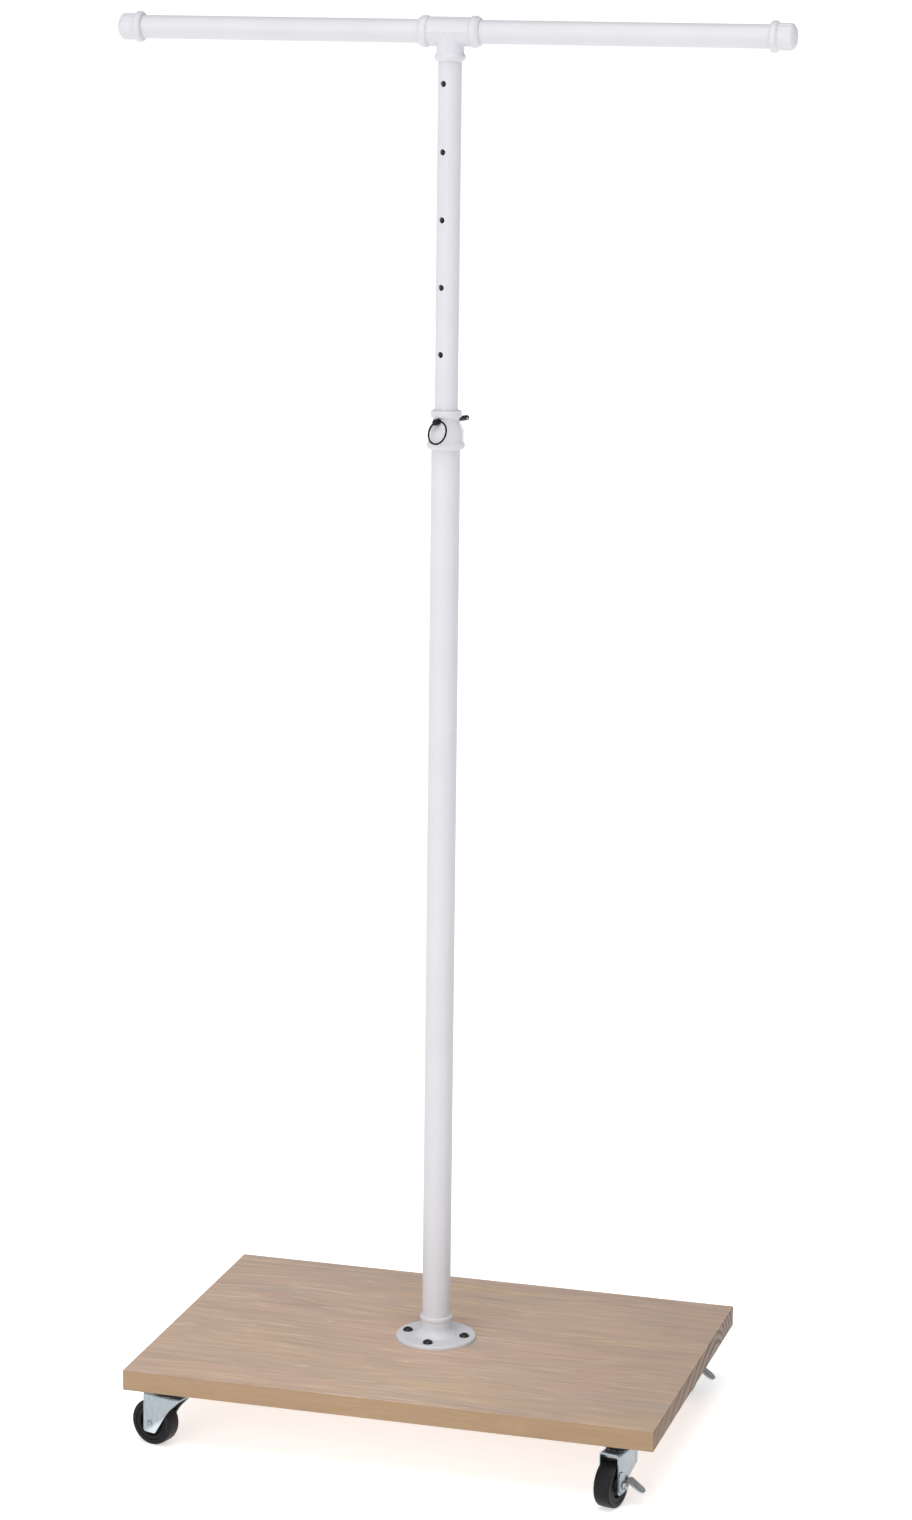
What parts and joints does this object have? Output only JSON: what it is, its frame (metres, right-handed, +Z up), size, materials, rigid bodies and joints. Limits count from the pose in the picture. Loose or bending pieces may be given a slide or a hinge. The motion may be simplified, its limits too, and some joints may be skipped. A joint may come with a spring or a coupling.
{
  "type": "rolling two-way garment rack",
  "caption": "Telescoping pipe-style post with a straight crossbar of two capped arms, on a rectangular wooden base that rolls on swivel casters.",
  "frame": {"origin": "on the floor, on the axis of the post, which is the middle of the base and of the part's box", "axes": "+X along the crossbar and the base's long side, -Y towards the front, +Z up along the post"},
  "size_m": [0.792, 0.4664, 1.657],
  "materials": {
    "powder_coat": "satin",
    "board_wood": "satin",
    "brass": "satin",
    "black_screw": "satin",
    "zinc_sheet": "satin",
    "steel": "satin",
    "nylon": "matte",
    "black_oxide": "satin",
    "bright_steel": "polished",
    "wheel_rubber": "matte",
    "bush_steel": "satin"
  },
  "bodies": {
    "stand": {"base_board": "board_wood", "insert_nuts": "brass", "floor_flange": "powder_coat", "flange_screws": "black_screw", "lower_pole": "powder_coat", "reducing_coupling": "powder_coat", "caster_plate_fl": "zinc_sheet", "caster_plate_fr": "zinc_sheet", "caster_plate_bl": "zinc_sheet", "caster_plate_br": "zinc_sheet", "caster_screws": "steel", "kingpins": "steel"},
    "mast": {"upper_pole": "powder_coat", "pole_glide": "nylon", "tee": "powder_coat", "arm_left": "powder_coat", "arm_right": "powder_coat", "cap_left": "powder_coat", "cap_right": "powder_coat"},
    "lock_pin": {"lock_pin": "black_oxide", "detent_spring": "bright_steel"},
    "detent_ball": {"detent_ball": "bright_steel"},
    "pull_ring": {"pull_ring": "black_oxide"},
    "swivel_fl": {"fork_fl": "zinc_sheet", "swivel_balls_fl": "bright_steel", "axle_fl": "steel"},
    "wheel_fl": {"wheel_fl": "wheel_rubber", "wheel_bush_fl": "bush_steel"},
    "swivel_fr": {"fork_fr": "zinc_sheet", "swivel_balls_fr": "bright_steel", "axle_fr": "steel", "axle_nut_fr": "steel"},
    "wheel_fr": {"wheel_fr": "wheel_rubber", "wheel_bush_fr": "bush_steel"},
    "brake_lever_fr": {"brake_lever_fr": "zinc_sheet"},
    "swivel_bl": {"fork_bl": "zinc_sheet", "swivel_balls_bl": "bright_steel", "axle_bl": "steel"},
    "wheel_bl": {"wheel_bl": "wheel_rubber", "wheel_bush_bl": "bush_steel"},
    "swivel_br": {"fork_br": "zinc_sheet", "swivel_balls_br": "bright_steel", "axle_br": "steel", "axle_nut_br": "steel"},
    "wheel_br": {"wheel_br": "wheel_rubber", "wheel_bush_br": "bush_steel"},
    "brake_lever_br": {"brake_lever_br": "zinc_sheet"}
  },
  "joints": [
    {"name": "mast_slide", "type": "slide", "parent": "stand", "child": "mast", "axis": [0, 0, 1], "range_m": [-0.381, 0.0762]},
    {"name": "pin_slide", "type": "slide", "parent": "stand", "child": "lock_pin", "axis": [-0.3223, -0.9466, 0], "range_m": [0, 0.065]},
    {"name": "detent_press", "type": "slide", "parent": "lock_pin", "child": "detent_ball", "axis": [-0.9466, 0.3223, 0], "range_m": [0, 0.0006], "stiffness_N_per_m": 800, "springref_m": -0.001, "deforming": ["detent_spring"]},
    {"name": "ring_swing", "type": "hinge", "parent": "lock_pin", "child": "pull_ring", "pos_m": [-0.00645, -0.01893, 1.2], "axis": [-0.8675, 0.2953, -0.4003], "range_deg": [-10, 130]},
    {"name": "swivel_fl", "type": "hinge", "parent": "stand", "child": "swivel_fl", "pos_m": [-0.2715, -0.186, 0.06], "axis": [0, 0, 1], "continuous": true},
    {"name": "roll_fl", "type": "hinge", "parent": "swivel_fl", "child": "wheel_fl", "pos_m": [-0.28967, -0.18044, 0.0275], "axis": [-0.2924, -0.9563, 0], "continuous": true},
    {"name": "swivel_fr", "type": "hinge", "parent": "stand", "child": "swivel_fr", "pos_m": [0.2715, -0.186, 0.06], "axis": [0, 0, 1], "continuous": true},
    {"name": "roll_fr", "type": "hinge", "parent": "swivel_fr", "child": "wheel_fr", "pos_m": [0.26723, -0.20451, 0.0275], "axis": [0.9744, -0.225, 0], "continuous": true},
    {"name": "brake_fr", "type": "hinge", "parent": "swivel_fr", "child": "brake_lever_fr", "pos_m": [0.26723, -0.20451, 0.0275], "axis": [0.9744, -0.225, 0], "range_deg": [-25, 25]},
    {"name": "swivel_bl", "type": "hinge", "parent": "stand", "child": "swivel_bl", "pos_m": [-0.2715, 0.186, 0.06], "axis": [0, 0, 1], "continuous": true},
    {"name": "roll_bl", "type": "hinge", "parent": "swivel_bl", "child": "wheel_bl", "pos_m": [-0.26723, 0.20451, 0.0275], "axis": [-0.9744, 0.225, 0], "continuous": true},
    {"name": "swivel_br", "type": "hinge", "parent": "stand", "child": "swivel_br", "pos_m": [0.2715, 0.186, 0.06], "axis": [0, 0, 1], "continuous": true},
    {"name": "roll_br", "type": "hinge", "parent": "swivel_br", "child": "wheel_br", "pos_m": [0.26755, 0.16742, 0.0275], "axis": [0.9781, -0.2079, 0], "continuous": true},
    {"name": "brake_br", "type": "hinge", "parent": "swivel_br", "child": "brake_lever_br", "pos_m": [0.26755, 0.16742, 0.0275], "axis": [0.9781, -0.2079, 0], "range_deg": [-25, 25]}
  ]
}
